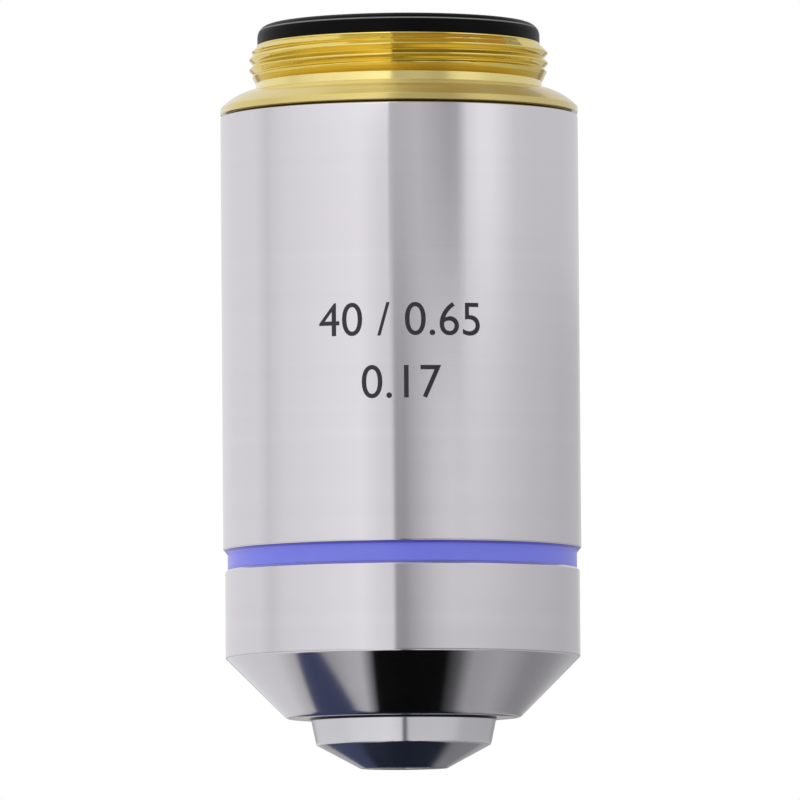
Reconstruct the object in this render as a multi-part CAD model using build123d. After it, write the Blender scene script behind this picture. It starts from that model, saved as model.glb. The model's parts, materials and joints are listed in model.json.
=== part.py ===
from build123d import *
from math import copysign, cos, radians, sin, sqrt, tan
import os

# A microscope objective with a sprung nose. Millimetres, +Z along the optical axis towards the
# eyepiece. Height 0 is the shoulder that seats on the nosepiece, and the nose points down.

# Clearances, each on the radius
SLIP_FIT = 0.05
RUNNING_FIT = 0.05
SCREW_FIT = 0.02
NOSE_GAP = 0.10
STEM_GAP = 0.30
CEMENT_FILM = 0.03

# Objective thread, 0.8 inch by 36 to the inch, modelled smooth at its crest
THREAD_DIAMETER = 20.32
THREAD_LENGTH = 1.56
LEAD_IN_LENGTH = 0.55
LEAD_IN_STEP = 0.54
LAND_LENGTH = 0.09
RUN_OUT_LENGTH = 0.44
NECK_STEP = 0.44
NECK_LENGTH = 0.62

# Shoulder: an undercut at the neck, a narrow flat seat, a crowned edge and a short rim
UNDERCUT_MARGIN = 0.08
UNDERCUT_DEPTH = 0.10
SEAT_WIDTH = 0.26
CROWN_HEIGHT = 1.07
CROWN_BULGE = 0.12
RIM_HEIGHT = 0.42
PARTING_HEIGHT = 0.18
PARTING_DEPTH = 0.40

# Collar below the shoulder and the screws that hold it
SPIGOT_LENGTH = 3.80
SPIGOT_CHAMFER = 0.30
LOCK_SCREW_COUNT = 3
LOCK_SCREW_DIAMETER = 1.40
LOCK_SCREW_DROP = 1.90
LOCK_SCREW_BITE = 0.90
LOCK_SCREW_SUNK = 0.15
LOCK_SOCKET_WIDTH = 0.70
LOCK_SOCKET_DEPTH = 0.60

# Black ring at the rear
RING_DIAMETER = 19.20
RING_HEIGHT = 1.36
RING_ROUND = 0.82
RING_WALL = 0.77
RING_SPIGOT_LENGTH = 1.95
RING_APERTURE = 13.00
RING_FLARE = 0.70
RING_SEAT_GAP = 0.10
SPANNER_SLOT_WIDTH = 1.20
SPANNER_SLOT_DEPTH = 0.60

# Outer sleeve
BODY_DIAMETER = 24.30
SLEEVE_LENGTH = 29.36
SLEEVE_WALL = 0.95
EDGE_BREAK = 0.08

# Blue band, flared at its top to meet the sleeve
BAND_WIDTH = 1.40
BAND_STEP = 0.30
BAND_FLARE_HEIGHT = 0.34
BAND_THICKNESS = 0.40

# Front sleeve and cone
FRONT_STEP = 0.12
FRONT_LENGTH = 6.00
FRONT_EDGE_BREAK = 0.18
FRONT_EDGE_ROUND = 0.45
FRONT_SPIGOT_LENGTH = 1.80
CONE_ANGLE = 45.0
CONE_END_DIAMETER = 15.80
CONE_WALL = 1.70
CONE_FLOOR = 2.00

# Guide tube
TUBE_TOP_WALL = 0.70
FRONT_THREAD_STEP = 0.60
FRONT_THREAD_LENGTH = 4.00
FRONT_THREAD_RELIEF = 0.30
GUIDE_WALL = 0.95
STOP_LIP_HEIGHT = 3.00
STOP_LIP_WIDTH = 1.10

# Sliding barrel, its travel, spring and guide pin
TRAVEL = 1.50
TOP_SPARE = 0.30
STOP_OVERLAP = 0.20
SPRING_LENGTH = 8.50
SPRING_WIRE = 0.70
SPRING_TURNS = 5.0
LEDGE_WIDTH = 1.35
UPPER_LAND = 6.00
LOWER_LAND = 5.50
RELIEF_DEPTH = 0.35
BARREL_WALL = 2.60
BARREL_END_GAP = 1.10
BARREL_END_WALL = 1.20
BARREL_FLOOR = 3.50
PIN_DIAMETER = 1.50
PIN_DROP = 4.00
PIN_SUNK = 0.12
PIN_TIP_DEPTH = 0.60
PIN_SLOT_GAP = 0.10

# Nose
NOSE_DIAMETER = 12.60
NOSE_PROJECTION = 3.39
NOSE_SHOULDER = 0.30
NOSE_TAPER = 0.38
NOSE_EDGE_ROUND = 0.20
TIP_CONE_HEIGHT = 1.60
TIP_DIAMETER = 5.90
TIP_APERTURE = 2.40
TIP_LIP = 0.22
CAP_SPIGOT_LENGTH = 3.20
CAP_WALL = 1.55

# Lenses: an edge is a rim's height, a hollow or dome is how far a face sinks or rises at its middle,
# and a wall is that of the cell around the lens
LENS_FIT = 0.05
LENS_LIP = 0.50
LIP_HEIGHT = 0.50
FRONT_LENS_DIAMETER = 3.70
FRONT_LENS_EDGE = 0.70
FRONT_LENS_HOLLOW = 0.10
FRONT_LENS_DOME = 1.00
FRONT_LENS_DEPTH = 1.85
SECOND_LENS_DIAMETER = 6.10
SECOND_LENS_EDGE = 0.55
SECOND_LENS_HOLLOW = 0.60
SECOND_LENS_DOME = 1.20
SECOND_LENS_DEPTH = 1.90
FRONT_PAIR_WALL = 0.50
FRONT_PAIR_HOLLOW = 0.30
FRONT_PAIR_JOINT = 0.90
FRONT_PAIR_DOME = 0.80
FRONT_FLINT_EDGE = 1.80
FRONT_CROWN_EDGE = 0.50
FRONT_RING_HEIGHT = 1.10
FRONT_RING_WIDTH = 1.00
FRONT_RING_SUNK = 0.15
FRONT_SPACER_HEIGHT = 1.20
FRONT_SPACER_WALL = 1.20
TRIPLET_WALL = 1.45
TRIPLET_CELL_HEIGHT = 6.00
TRIPLET_HOLLOW = 0.20
TRIPLET_FRONT_JOINT = 1.20
TRIPLET_REAR_JOINT = 1.10
TRIPLET_DOME = 0.20
TRIPLET_FRONT_EDGE = 2.20
TRIPLET_MIDDLE_EDGE = 0.60
TRIPLET_REAR_EDGE = 2.00
MIDDLE_SPACER_HEIGHT = 1.00
MIDDLE_SPACER_WALL = 1.40
MIDDLE_PAIR_WALL = 1.65
MIDDLE_PAIR_CELL_HEIGHT = 4.20
MIDDLE_PAIR_DOME = 0.60
MIDDLE_PAIR_JOINT = 0.90
MIDDLE_PAIR_HOLLOW = 0.40
MIDDLE_CROWN_EDGE = 0.80
MIDDLE_FLINT_EDGE = 2.00
LONG_SPACER_WALL = 1.60
REAR_PAIR_WALL = 2.25
REAR_PAIR_CELL_HEIGHT = 5.00
REAR_PAIR_HOLLOW = 1.00
REAR_PAIR_JOINT = 0.50
REAR_PAIR_DOME = 0.80
REAR_FLINT_EDGE = 2.40
REAR_CROWN_EDGE = 0.90
REAR_LENS_WALL = 2.65
REAR_LENS_CELL_HEIGHT = 2.80
REAR_LENS_HOLLOW = 0.50
REAR_LENS_DOME = 0.50
REAR_LENS_EDGE = 1.30
LOCK_RING_HEIGHT = 1.40
LOCK_RING_WIDTH = 2.20
LOCK_RING_SUNK = 0.30

# Radii of the shoulder and the thread
thread_r = THREAD_DIAMETER / 2
neck_r = thread_r - NECK_STEP
land_r = thread_r - LEAD_IN_STEP
undercut_r = thread_r + UNDERCUT_MARGIN
seat_r = undercut_r + SEAT_WIDTH
body_r = BODY_DIAMETER / 2

# Radii that nest inwards from the outer sleeve
sleeve_bore_r = body_r - SLEEVE_WALL
tube_r = sleeve_bore_r - SLIP_FIT
collar_bore_r = tube_r - TUBE_TOP_WALL
spigot_r = collar_bore_r - SLIP_FIT
front_thread_r = tube_r - FRONT_THREAD_STEP
front_bore_r = front_thread_r + SLIP_FIT
guide_r = front_thread_r - GUIDE_WALL
lip_r = guide_r - STOP_LIP_WIDTH
barrel_r = guide_r - RUNNING_FIT
spring_neck_r = barrel_r - LEDGE_WIDTH
relief_r = barrel_r - RELIEF_DEPTH
barrel_bore_r = barrel_r - BARREL_WALL
stack_r = barrel_bore_r - SLIP_FIT
stem_r = lip_r - STEM_GAP
light_bore_r = spring_neck_r - STOP_OVERLAP
ring_bore_r = land_r - RING_WALL
ring_spigot_r = ring_bore_r - SLIP_FIT
ring_r = RING_DIAMETER / 2
aperture_r = RING_APERTURE / 2
band_r = body_r - BAND_STEP
band_bore_r = band_r - BAND_THICKNESS
front_r = body_r - FRONT_STEP
cone_end_r = CONE_END_DIAMETER / 2
nose_r = NOSE_DIAMETER / 2
nose_bore_r = nose_r + NOSE_GAP
nose_spigot_r = nose_r - NOSE_SHOULDER - SLIP_FIT
tip_r = TIP_DIAMETER / 2

# Heights of the shoulder and what stands on it
neck_top = NECK_LENGTH
thread_low = neck_top + RUN_OUT_LENGTH
thread_high = thread_low + THREAD_LENGTH
land_low = thread_high + LEAD_IN_LENGTH
mount_top = land_low + LAND_LENGTH
ring_top = mount_top + RING_HEIGHT
ring_spigot_low = mount_top - RING_SPIGOT_LENGTH
ring_bore_low = ring_spigot_low - RING_SEAT_GAP

# Heights below the shoulder, down to the tip
rim_high = -CROWN_HEIGHT
rim_low = rim_high - RIM_HEIGHT
sleeve_top = rim_low - PARTING_HEIGHT
spigot_low = sleeve_top - SPIGOT_LENGTH
sleeve_low = sleeve_top - SLEEVE_LENGTH
band_low = sleeve_low - BAND_WIDTH
front_spigot_top = sleeve_low + FRONT_SPIGOT_LENGTH
tube_shoulder = front_spigot_top + FRONT_THREAD_RELIEF
tube_low = band_low - FRONT_THREAD_LENGTH
stop_height = tube_low + STOP_LIP_HEIGHT
cone_slope = 1 / tan(radians(CONE_ANGLE))
cone_high = band_low - FRONT_LENGTH
cone_low = cone_high - (front_r - cone_end_r) * cone_slope
cone_floor = cone_low + CONE_FLOOR
inner_cone_high = cone_high + (front_bore_r + CONE_WALL - front_r) * cone_slope
inner_cone_end_r = front_bore_r - (inner_cone_high - cone_floor) / cone_slope
tip_height = cone_low - NOSE_PROJECTION

# Heights of the sliding barrel
barrel_top = spigot_low - TRAVEL - TOP_SPARE
ledge_height = spigot_low - SPRING_LENGTH
upper_land_low = ledge_height - UPPER_LAND
lower_land_high = stop_height + LOWER_LAND
barrel_low = cone_floor + BARREL_END_GAP
stack_low = barrel_low + BARREL_FLOOR
stack_high = barrel_top - LOCK_RING_SUNK
pin_height = upper_land_low - PIN_DROP

# Heights inside the nose
cap_top = barrel_low + CAP_SPIGOT_LENGTH
tip_cone_high = tip_height + TIP_CONE_HEIGHT
front_lens_seat = tip_height + TIP_LIP
second_lens_seat = front_lens_seat + FRONT_LENS_DEPTH
front_pair_seat = second_lens_seat + SECOND_LENS_DEPTH
front_ring_high = cap_top - FRONT_RING_SUNK
front_ring_low = front_ring_high - FRONT_RING_HEIGHT

# Lens sizes that follow from the bores around them, through the walls of their cells
front_cell_r = nose_spigot_r - CAP_WALL - SLIP_FIT
front_pair_diameter = 2 * (front_cell_r - FRONT_PAIR_WALL - LENS_FIT)
triplet_diameter = 2 * (stack_r - TRIPLET_WALL - LENS_FIT)
middle_pair_diameter = 2 * (stack_r - MIDDLE_PAIR_WALL - LENS_FIT)
rear_pair_diameter = 2 * (stack_r - REAR_PAIR_WALL - LENS_FIT)
rear_lens_diameter = 2 * (stack_r - REAR_LENS_WALL - LENS_FIT)


def turned(outline):
    """A solid of revolution from a closed half outline of (radius, height)."""
    return revolve(Plane.XZ * make_face(outline), Axis.Z)


def corners(*points):
    """A closed outline with straight sides."""
    return Polyline(*points, close=True)


def washer(outer, inner, low, high):
    """A plain ring between two heights."""
    return turned(corners((inner, low), (outer, low), (outer, high), (inner, high)))


def circle_edge(solid, radius, height):
    """The round edges of a turned solid at one radius and height."""
    edges = solid.edges().filter_by(GeomType.CIRCLE)
    return edges.filter_by(lambda e: abs(e.radius - radius) < 1e-4 and abs(e.center().Z - height) < 1e-4)


def cross_slot(width, length, depth, top):
    """A straight cut across a ring's top face, for a spanner."""
    return Pos(0, 0, top - depth / 2) * Box(length, width, depth)


def radial_pin(diameter, inner, outer, height, angle):
    """A round bar that points away from the axis at an angle about it."""
    bar = extrude(Plane.YZ.offset(inner) * Circle(diameter / 2), outer - inner)
    return Rot(0, 0, angle) * Pos(0, 0, height) * bar


def sag(rim_radius, rise, radius):
    """Height of a spherical face above its middle, from its rise at the rim."""
    curve = (rim_radius**2 + rise**2) / (2 * rise)
    return curve - copysign(sqrt(curve**2 - radius**2), curve)


def lens(diameter, edge_low, edge, low_rise, high_rise):
    """A lens with its rim from edge_low up by edge. A rise is positive where a face bulges outwards."""
    rim = diameter / 2
    edge_high = edge_low + edge
    low_middle = edge_low - low_rise
    high_middle = edge_high + high_rise
    low_half = (rim / 2, low_middle + sag(rim, low_rise, rim / 2))
    high_half = (rim / 2, high_middle - sag(rim, high_rise, rim / 2))
    outline = ThreePointArc((0, low_middle), low_half, (rim, edge_low))
    outline += Line((rim, edge_low), (rim, edge_high))
    outline += ThreePointArc((rim, edge_high), high_half, (0, high_middle))
    outline += Line((0, high_middle), (0, low_middle))
    return turned(outline)


def cell(outer, diameter, low, high):
    """A lens cell: a ring with a lip at its lower end for the lens to rest on."""
    bore = diameter / 2 + LENS_FIT
    lip = diameter / 2 - LENS_LIP
    step = low + LIP_HEIGHT
    return turned(corners((lip, low), (outer, low), (outer, high), (bore, high), (bore, step), (lip, step)))


def lip_lift(diameter, rise):
    """How far a bulging face lifts its rim above the lip that it rests on."""
    rim = diameter / 2
    return rise - sag(rim, rise, rim - LENS_LIP)


def thread_mount():
    """Brass collar: thread, neck, undercut shoulder and the spigot that enters the guide tube."""
    upper = Polyline(
        (light_bore_r, spigot_low),
        (light_bore_r, ring_bore_low),
        (ring_bore_r, ring_bore_low),
        (ring_bore_r, mount_top),
        (land_r, mount_top),
        (land_r, land_low),
        (thread_r, thread_high),
        (thread_r, thread_low),
        (neck_r, neck_top),
        (neck_r, -UNDERCUT_DEPTH),
        (undercut_r, -UNDERCUT_DEPTH),
        (undercut_r, 0),
        (seat_r, 0),
    )
    crown = SagittaArc((seat_r, 0), (body_r, rim_high), -CROWN_BULGE)
    lower = Polyline(
        (body_r, rim_high),
        (body_r, rim_low),
        (body_r - PARTING_DEPTH, rim_low),
        (body_r - PARTING_DEPTH, sleeve_top),
        (spigot_r, sleeve_top),
        (spigot_r, spigot_low + SPIGOT_CHAMFER),
        (spigot_r - SPIGOT_CHAMFER, spigot_low),
        (light_bore_r, spigot_low),
    )
    collar = turned(upper + crown + lower)
    return collar - lock_screw_bars(LOCK_SCREW_DIAMETER + 2 * SCREW_FIT)


def lock_screw_bars(diameter):
    """The round bars of the lock screws, also used to drill for them."""
    inner = spigot_r - LOCK_SCREW_BITE
    outer = tube_r - LOCK_SCREW_SUNK
    height = sleeve_top - LOCK_SCREW_DROP
    turn = 360 / LOCK_SCREW_COUNT
    return [radial_pin(diameter, inner, outer, height, 90 + turn * i) for i in range(LOCK_SCREW_COUNT)]


def lock_screws():
    """Set screws with hexagon sockets."""
    outer = tube_r - LOCK_SCREW_SUNK
    socket = Plane.YZ.offset(outer) * RegularPolygon(LOCK_SOCKET_WIDTH / 2, 6, major_radius=False)
    hexagon = extrude(socket, -LOCK_SOCKET_DEPTH)
    height = sleeve_top - LOCK_SCREW_DROP
    turn = 360 / LOCK_SCREW_COUNT
    screws = []
    for i, bar in enumerate(lock_screw_bars(LOCK_SCREW_DIAMETER)):
        screws.append(bar - Rot(0, 0, 90 + turn * i) * Pos(0, 0, height) * hexagon)
    return Compound(children=screws)


def rear_stop_ring():
    """Black ring on top of the collar, with a flared aperture and two spanner slots."""
    outline = corners(
        (aperture_r, ring_spigot_low),
        (ring_spigot_r, ring_spigot_low),
        (ring_spigot_r, mount_top),
        (ring_r, mount_top),
        (ring_r, ring_top),
        (aperture_r + RING_FLARE, ring_top),
        (aperture_r, ring_top - RING_FLARE),
    )
    ring = turned(outline)
    ring = fillet(circle_edge(ring, ring_r, ring_top), RING_ROUND)
    slot_length = 2 * (ring_r - RING_ROUND) - 2 * EDGE_BREAK
    return ring - cross_slot(SPANNER_SLOT_WIDTH, slot_length, SPANNER_SLOT_DEPTH, ring_top)


def outer_sleeve():
    """Long plain sleeve clamped between the shoulder and the band."""
    outline = corners(
        (sleeve_bore_r, sleeve_low),
        (body_r - EDGE_BREAK, sleeve_low),
        (body_r, sleeve_low + EDGE_BREAK),
        (body_r, sleeve_top - EDGE_BREAK),
        (body_r - EDGE_BREAK, sleeve_top),
        (sleeve_bore_r, sleeve_top),
    )
    return turned(outline)


def colour_band():
    """Enamelled ring trapped between the two sleeves."""
    outline = corners(
        (band_bore_r, band_low),
        (band_r, band_low),
        (band_r, sleeve_low - BAND_FLARE_HEIGHT),
        (body_r - EDGE_BREAK, sleeve_low),
        (band_bore_r, sleeve_low),
    )
    return turned(outline)


def front_sleeve():
    """Short sleeve that screws on the guide tube and ends in the cone."""
    outline = corners(
        (front_bore_r, front_spigot_top),
        (sleeve_bore_r - SLIP_FIT, front_spigot_top),
        (sleeve_bore_r - SLIP_FIT, sleeve_low),
        (band_bore_r - SLIP_FIT, sleeve_low),
        (band_bore_r - SLIP_FIT, band_low),
        (front_r - FRONT_EDGE_BREAK, band_low),
        (front_r, band_low - FRONT_EDGE_BREAK),
        (front_r, cone_high),
        (cone_end_r, cone_low),
        (nose_bore_r, cone_low),
        (nose_bore_r, cone_floor),
        (inner_cone_end_r, cone_floor),
        (front_bore_r, inner_cone_high),
    )
    sleeve = turned(outline)
    return fillet(circle_edge(sleeve, front_r, cone_high), FRONT_EDGE_ROUND)


def guide_tube():
    """Fixed tube in which the barrel slides, with a lip that stops it at the lower end."""
    outline = corners(
        (collar_bore_r, sleeve_top),
        (tube_r, sleeve_top),
        (tube_r, tube_shoulder),
        (front_thread_r, tube_shoulder),
        (front_thread_r, tube_low),
        (lip_r, tube_low),
        (lip_r, stop_height),
        (guide_r, stop_height),
        (guide_r, spigot_low - SLIP_FIT),
        (collar_bore_r, spigot_low - SLIP_FIT),
    )
    tube = turned(outline)
    tube -= lock_screw_bars(LOCK_SCREW_DIAMETER + 2 * SCREW_FIT)
    return tube - radial_pin(PIN_DIAMETER + 2 * SCREW_FIT, 0, body_r, pin_height, 90)


def guide_pin():
    """Pin through the guide tube, whose tip stands in the barrel's slot."""
    return radial_pin(PIN_DIAMETER, relief_r - PIN_TIP_DEPTH, tube_r - PIN_SUNK, pin_height, 90)


def return_spring():
    """Coil spring of square wire between the collar and the barrel's ledge, ground flat at both ends."""
    middle_r = (guide_r + spring_neck_r) / 2
    pitch = SPRING_LENGTH / SPRING_TURNS
    path = Pos(0, 0, ledge_height) * Helix(pitch, SPRING_LENGTH, middle_r)
    wire = Plane(path @ 0, z_dir=path % 0) * Rectangle(SPRING_WIRE, SPRING_WIRE)
    coil = sweep(wire, path=path, is_frenet=True)
    space = washer(guide_r, spring_neck_r, ledge_height, spigot_low)
    return coil & space


def lens_barrel():
    """Sliding tube with two guide lands, a spring ledge and a slot for the pin."""
    outline = corners(
        (barrel_bore_r, stack_low),
        (barrel_bore_r, barrel_top),
        (spring_neck_r, barrel_top),
        (spring_neck_r, ledge_height),
        (barrel_r, ledge_height),
        (barrel_r, upper_land_low),
        (relief_r, upper_land_low),
        (relief_r, lower_land_high),
        (barrel_r, lower_land_high),
        (barrel_r, stop_height),
        (stem_r, stop_height),
        (stem_r, tube_low),
        (nose_r - NOSE_SHOULDER + BARREL_END_WALL, barrel_low),
        (nose_r - NOSE_SHOULDER, barrel_low),
        (nose_r - NOSE_SHOULDER, stack_low),
    )
    slot_reach = PIN_DIAMETER / 2 + PIN_SLOT_GAP
    slot_low = pin_height - TRAVEL - slot_reach
    slot_high = pin_height + slot_reach
    slot_floor = relief_r - PIN_TIP_DEPTH - PIN_SLOT_GAP
    slot_depth = barrel_r - slot_floor
    slot = Box(2 * slot_reach, slot_depth, slot_high - slot_low)
    return turned(outline) - Pos(0, slot_floor + slot_depth / 2, (slot_low + slot_high) / 2) * slot


def nose_cap():
    """Nose with a slight taper, a tip cone and stepped bores for the front lenses."""
    front_bore = FRONT_LENS_DIAMETER / 2 + LENS_FIT
    second_bore = SECOND_LENS_DIAMETER / 2 + LENS_FIT
    pair_bore = front_cell_r + SLIP_FIT
    outline = corners(
        (pair_bore, cap_top),
        (nose_spigot_r, cap_top),
        (nose_spigot_r, barrel_low),
        (nose_r, barrel_low),
        (nose_r, cone_low),
        (nose_r - NOSE_TAPER, tip_cone_high),
        (tip_r, tip_height),
        (TIP_APERTURE / 2, tip_height),
        (TIP_APERTURE / 2, front_lens_seat),
        (front_bore, front_lens_seat),
        (front_bore, second_lens_seat),
        (second_bore, second_lens_seat),
        (second_bore, front_pair_seat),
        (pair_bore, front_pair_seat),
    )
    cap = turned(outline)
    return fillet(circle_edge(cap, nose_r - NOSE_TAPER, tip_cone_high), NOSE_EDGE_ROUND)


def front_lens_group():
    """The nose's lenses, the cell of their cemented pair and its lock ring."""
    pair_low = front_pair_seat + LIP_HEIGHT
    crown_low = pair_low + FRONT_FLINT_EDGE + CEMENT_FILM
    ring = washer(front_cell_r, front_cell_r - FRONT_RING_WIDTH, front_ring_low, front_ring_high)
    slot = cross_slot(SPANNER_SLOT_WIDTH, 2 * front_cell_r, SPANNER_SLOT_DEPTH, front_ring_high)
    return {
        "front_lens": lens(
            FRONT_LENS_DIAMETER, front_lens_seat, FRONT_LENS_EDGE, -FRONT_LENS_HOLLOW, FRONT_LENS_DOME
        ),
        "second_lens": lens(
            SECOND_LENS_DIAMETER, second_lens_seat, SECOND_LENS_EDGE, -SECOND_LENS_HOLLOW, SECOND_LENS_DOME
        ),
        "front_pair_cell": cell(front_cell_r, front_pair_diameter, front_pair_seat, front_ring_low),
        "front_pair_flint": lens(
            front_pair_diameter, pair_low, FRONT_FLINT_EDGE, -FRONT_PAIR_HOLLOW, -FRONT_PAIR_JOINT
        ),
        "front_pair_crown": lens(
            front_pair_diameter, crown_low, FRONT_CROWN_EDGE, FRONT_PAIR_JOINT, FRONT_PAIR_DOME
        ),
        "front_group_ring": ring - slot,
    }


def triplet_group(low):
    """Cemented triplet in its cell, standing at a height in the barrel."""
    front_low = low + LIP_HEIGHT
    middle_low = front_low + TRIPLET_FRONT_EDGE + CEMENT_FILM
    rear_low = middle_low + TRIPLET_MIDDLE_EDGE + CEMENT_FILM
    return {
        "triplet_cell": cell(stack_r, triplet_diameter, low, low + TRIPLET_CELL_HEIGHT),
        "triplet_front": lens(
            triplet_diameter, front_low, TRIPLET_FRONT_EDGE, -TRIPLET_HOLLOW, -TRIPLET_FRONT_JOINT
        ),
        "triplet_middle": lens(
            triplet_diameter, middle_low, TRIPLET_MIDDLE_EDGE, TRIPLET_FRONT_JOINT, TRIPLET_REAR_JOINT
        ),
        "triplet_rear": lens(
            triplet_diameter, rear_low, TRIPLET_REAR_EDGE, -TRIPLET_REAR_JOINT, TRIPLET_DOME
        ),
    }


def middle_pair_group(low):
    """Cemented pair whose bulging front face rests on the edge of its cell's lip."""
    crown_low = low + LIP_HEIGHT + lip_lift(middle_pair_diameter, MIDDLE_PAIR_DOME)
    flint_low = crown_low + MIDDLE_CROWN_EDGE + CEMENT_FILM
    return {
        "middle_pair_cell": cell(stack_r, middle_pair_diameter, low, low + MIDDLE_PAIR_CELL_HEIGHT),
        "middle_pair_crown": lens(
            middle_pair_diameter, crown_low, MIDDLE_CROWN_EDGE, MIDDLE_PAIR_DOME, MIDDLE_PAIR_JOINT
        ),
        "middle_pair_flint": lens(
            middle_pair_diameter, flint_low, MIDDLE_FLINT_EDGE, -MIDDLE_PAIR_JOINT, -MIDDLE_PAIR_HOLLOW
        ),
    }


def rear_pair_group(low):
    """Cemented pair with a hollow front face."""
    flint_low = low + LIP_HEIGHT
    crown_low = flint_low + REAR_FLINT_EDGE + CEMENT_FILM
    return {
        "rear_pair_cell": cell(stack_r, rear_pair_diameter, low, low + REAR_PAIR_CELL_HEIGHT),
        "rear_pair_flint": lens(
            rear_pair_diameter, flint_low, REAR_FLINT_EDGE, -REAR_PAIR_HOLLOW, -REAR_PAIR_JOINT
        ),
        "rear_pair_crown": lens(
            rear_pair_diameter, crown_low, REAR_CROWN_EDGE, REAR_PAIR_JOINT, REAR_PAIR_DOME
        ),
    }


def rear_lens_group(low):
    """Single lens in its cell, the last before the eyepiece."""
    lens_low = low + LIP_HEIGHT
    return {
        "rear_lens_cell": cell(stack_r, rear_lens_diameter, low, low + REAR_LENS_CELL_HEIGHT),
        "rear_lens": lens(
            rear_lens_diameter, lens_low, REAR_LENS_EDGE, -REAR_LENS_HOLLOW, REAR_LENS_DOME
        ),
    }


def barrel_stack():
    """Everything stacked in the barrel: the long spacer takes up what the other pieces leave."""
    triplet_low = stack_low + FRONT_SPACER_HEIGHT
    middle_spacer_low = triplet_low + TRIPLET_CELL_HEIGHT
    middle_pair_low = middle_spacer_low + MIDDLE_SPACER_HEIGHT
    long_spacer_low = middle_pair_low + MIDDLE_PAIR_CELL_HEIGHT
    lock_low = stack_high - LOCK_RING_HEIGHT
    rear_lens_low = lock_low - REAR_LENS_CELL_HEIGHT
    rear_pair_low = rear_lens_low - REAR_PAIR_CELL_HEIGHT
    lock_ring = washer(stack_r, stack_r - LOCK_RING_WIDTH, lock_low, stack_high)
    slot = cross_slot(SPANNER_SLOT_WIDTH, 2 * stack_r, SPANNER_SLOT_DEPTH, stack_high)
    rings = {
        "front_spacer": washer(stack_r, stack_r - FRONT_SPACER_WALL, stack_low, triplet_low),
        "middle_spacer": washer(
            stack_r, stack_r - MIDDLE_SPACER_WALL, middle_spacer_low, middle_pair_low
        ),
        "long_spacer": washer(stack_r, stack_r - LONG_SPACER_WALL, long_spacer_low, rear_pair_low),
        "barrel_lock_ring": lock_ring - slot,
    }
    groups = triplet_group(triplet_low) | middle_pair_group(middle_pair_low)
    groups |= rear_pair_group(rear_pair_low) | rear_lens_group(rear_lens_low)
    return rings | groups


nodes = {
    "thread_mount": thread_mount(),
    "lock_screws": lock_screws(),
    "rear_stop_ring": rear_stop_ring(),
    "outer_sleeve": outer_sleeve(),
    "colour_band": colour_band(),
    "front_sleeve": front_sleeve(),
    "guide_tube": guide_tube(),
    "guide_pin": guide_pin(),
    "return_spring": return_spring(),
    "lens_barrel": lens_barrel(),
    "nose_cap": nose_cap(),
}
nodes |= front_lens_group()
nodes |= barrel_stack()

os.makedirs("parts", exist_ok=True)
for name, solid in nodes.items():
    export_step(solid, f"parts/{name}.step")
print(len(nodes), "nodes written")
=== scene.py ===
# %% [markdown]
# # A microscope objective in brass, satin chrome and glass
#
# The solids of the objective come in as a fixed frame: every piece made below takes its place
# and its main sizes from that frame. The lesson goes from the camera to the studio, then to the
# finishes, and then to the turned pieces, the screw thread, the spring and the printed numbers.

import json
import math

import bmesh
import bpy
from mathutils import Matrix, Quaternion, Vector


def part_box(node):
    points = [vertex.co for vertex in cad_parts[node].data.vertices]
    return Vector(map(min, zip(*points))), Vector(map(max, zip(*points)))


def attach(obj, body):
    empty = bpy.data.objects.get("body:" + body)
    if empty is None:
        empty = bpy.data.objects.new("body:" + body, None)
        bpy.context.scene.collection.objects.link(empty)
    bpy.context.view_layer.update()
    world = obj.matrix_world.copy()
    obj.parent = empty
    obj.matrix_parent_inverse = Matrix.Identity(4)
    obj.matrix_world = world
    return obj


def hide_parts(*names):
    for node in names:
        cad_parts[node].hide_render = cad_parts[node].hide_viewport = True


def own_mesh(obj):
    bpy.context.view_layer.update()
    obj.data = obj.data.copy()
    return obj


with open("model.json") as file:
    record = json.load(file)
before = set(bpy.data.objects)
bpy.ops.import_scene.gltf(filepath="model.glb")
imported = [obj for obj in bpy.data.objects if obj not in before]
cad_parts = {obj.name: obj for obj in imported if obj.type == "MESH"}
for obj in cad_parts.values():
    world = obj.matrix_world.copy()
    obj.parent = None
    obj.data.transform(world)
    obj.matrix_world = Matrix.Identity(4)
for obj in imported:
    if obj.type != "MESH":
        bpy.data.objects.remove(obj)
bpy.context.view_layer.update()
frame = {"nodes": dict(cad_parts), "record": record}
scene = bpy.context.scene
scene.view_settings.view_transform = "Standard"
MM = 0.001


def placed(name, data):
    """A new object in the scene."""
    made = bpy.data.objects.new(name, data)
    scene.collection.objects.link(made)
    return made


# %% [markdown]
# ## The camera
#
# The photograph was taken with a long lens from a little below the objective: the edges of the
# sleeve bow upwards, and bow more at the top than at the bottom. From those two bows follow the
# camera's distance and height. The objective leans by less than half a degree in the picture,
# which is a roll of the camera, because the part itself stays upright in its frame.

# %% Camera
CAMERA_DISTANCE = 0.78
CAMERA_HEIGHT = -0.0720
CAMERA_SIDE = -0.00008
CAMERA_AIM = Vector((CAMERA_SIDE, 0.0, -0.02093))
PICTURE_WIDTH = 0.0542
CAMERA_ROLL = math.radians(0.44)

camera_data = bpy.data.cameras.new("camera")
camera_data.sensor_width = 36.0
camera_data.lens = camera_data.sensor_width * CAMERA_DISTANCE / PICTURE_WIDTH
camera_data.clip_start = 0.01
camera_data.clip_end = 20.0
camera = placed("camera", camera_data)
camera.location = (CAMERA_SIDE, -CAMERA_DISTANCE, CAMERA_HEIGHT)
view_line = CAMERA_AIM - camera.location
camera.rotation_mode = "QUATERNION"
camera.rotation_quaternion = (
    Quaternion(view_line.normalized(), CAMERA_ROLL) @ view_line.to_track_quat("-Z", "Y")
)
scene.camera = camera
print("camera lens", round(camera_data.lens), "mm")

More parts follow.
